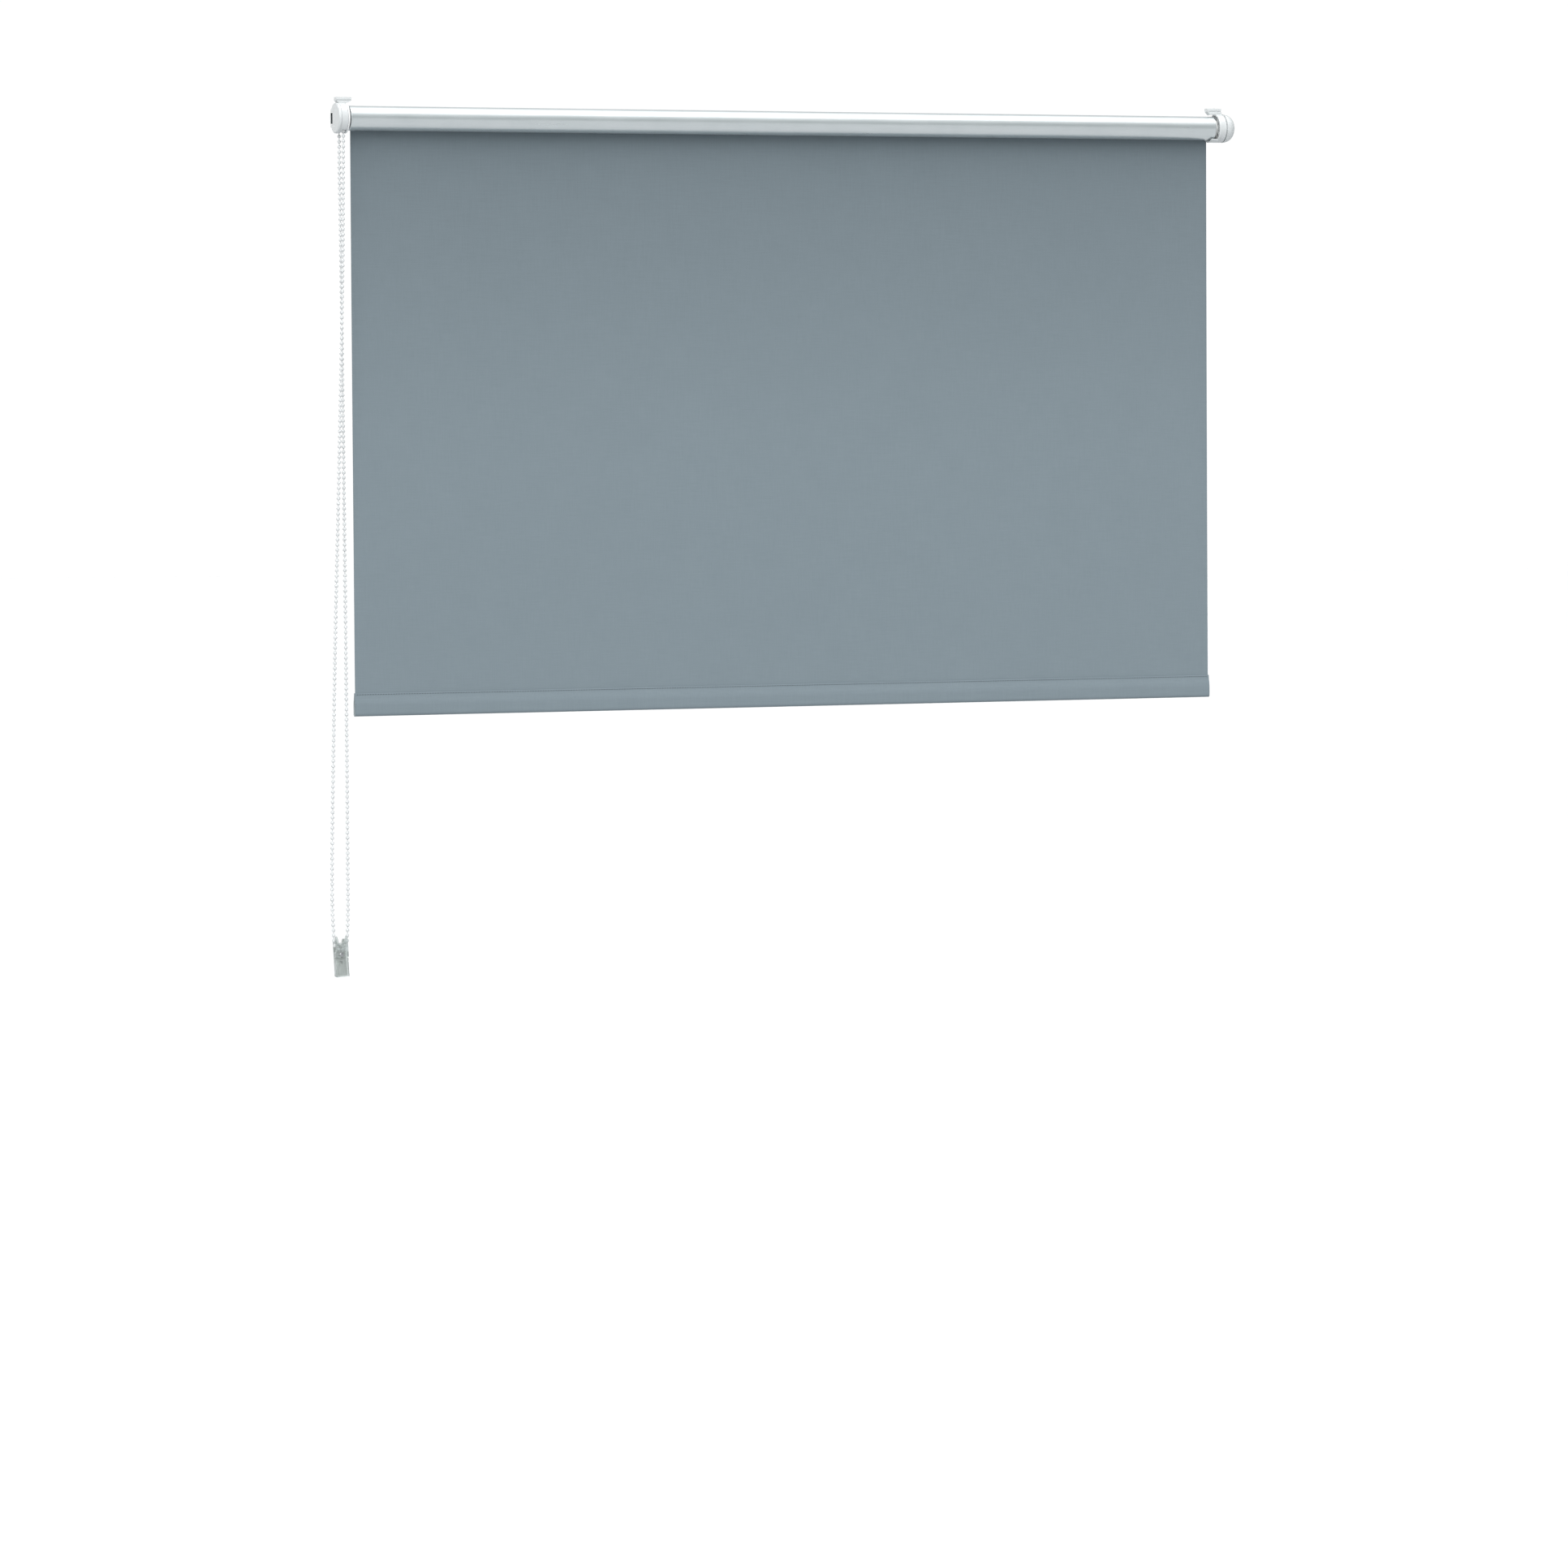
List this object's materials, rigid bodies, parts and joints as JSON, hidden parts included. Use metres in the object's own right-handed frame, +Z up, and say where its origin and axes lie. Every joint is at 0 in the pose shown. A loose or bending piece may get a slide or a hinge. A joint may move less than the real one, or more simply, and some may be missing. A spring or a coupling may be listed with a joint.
{
  "type": "roller blind",
  "caption": "Roller blind, half lowered: cloth on a tube between two clear clip-in brackets, a weighted hem, a bead chain loop on the left and its holder.",
  "frame": {"origin": "on the plane of the two carrier heads' top faces, midway along the cloth", "axes": "+X along the roller away from the chain, +Y from the room to the window, +Z up"},
  "size_m": [1.1627, 0.0358, 1.0226],
  "materials": {
    "clear_plastic": "clear moulded plastic, glossy",
    "white_plastic": "satin moulded plastic",
    "chain_plastic": "translucent bead chain plastic",
    "cloth_front": "fine plain weave, matt blue-grey",
    "cloth_back": "silver coating, satin",
    "aluminium": "satin anodised",
    "spring_steel": "drawn wire",
    "foam_tape": "foam tape",
    "dark_plastic": "dark grey moulded plastic"
  },
  "bodies": {
    "root": {"drive_bracket": "clear_plastic", "drive_cover": "clear_plastic", "chain_guard": "clear_plastic", "drive_spindle": "white_plastic", "wrap_spring": "spring_steel", "spindle_clip": "spring_steel", "idle_bracket": "clear_plastic", "pin_bush": "white_plastic", "idle_cover": "clear_plastic", "chain_front_strand": "chain_plastic", "chain_back_strand": "chain_plastic", "chain_bottom_loop": "chain_plastic", "holder_hook": "clear_plastic", "holder_base": "clear_plastic", "holder_screw": "spring_steel", "holder_pad": "foam_tape"},
    "roller": {"roller_tube": "aluminium", "adhesive_tape": "foam_tape", "wound_cloth": "cloth_back", "guide_collar": "aluminium", "tube_adapter": "dark_plastic", "chain_sprocket": "white_plastic", "end_plug": "white_plastic", "pin_spring": "spring_steel", "chain_wrap": "chain_plastic"},
    "idle_pin": {"idle_pin": "white_plastic"},
    "hem": {"hanging_cloth": "cloth_front", "hem_pocket": "cloth_front", "hem_bar": "aluminium", "hem_cap_left": "white_plastic", "hem_cap_right": "white_plastic"}
  },
  "joints": [
    {"name": "roller_spin", "type": "hinge", "parent": "root", "child": "roller", "pos_m": [0, 0, -0.0242], "axis": [1, 0, 0], "range_deg": [-3960, 2880]},
    {"name": "hem_lift", "type": "slide", "parent": "root", "child": "hem", "axis": [0, 0, 1], "range_m": [-0.8641, 0.6285], "deforming": ["hanging_cloth"]},
    {"name": "idle_pin_slide", "type": "slide", "parent": "roller", "child": "idle_pin", "axis": [-1, 0, 0], "range_m": [0, 0.006], "stiffness_N_per_m": 400, "springref_m": -0.004, "deforming": ["pin_spring"]}
  ],
  "couplings": [
    {"joint": "hem_lift", "follows": "roller_spin", "m_per_rad": 0.0125}
  ]
}
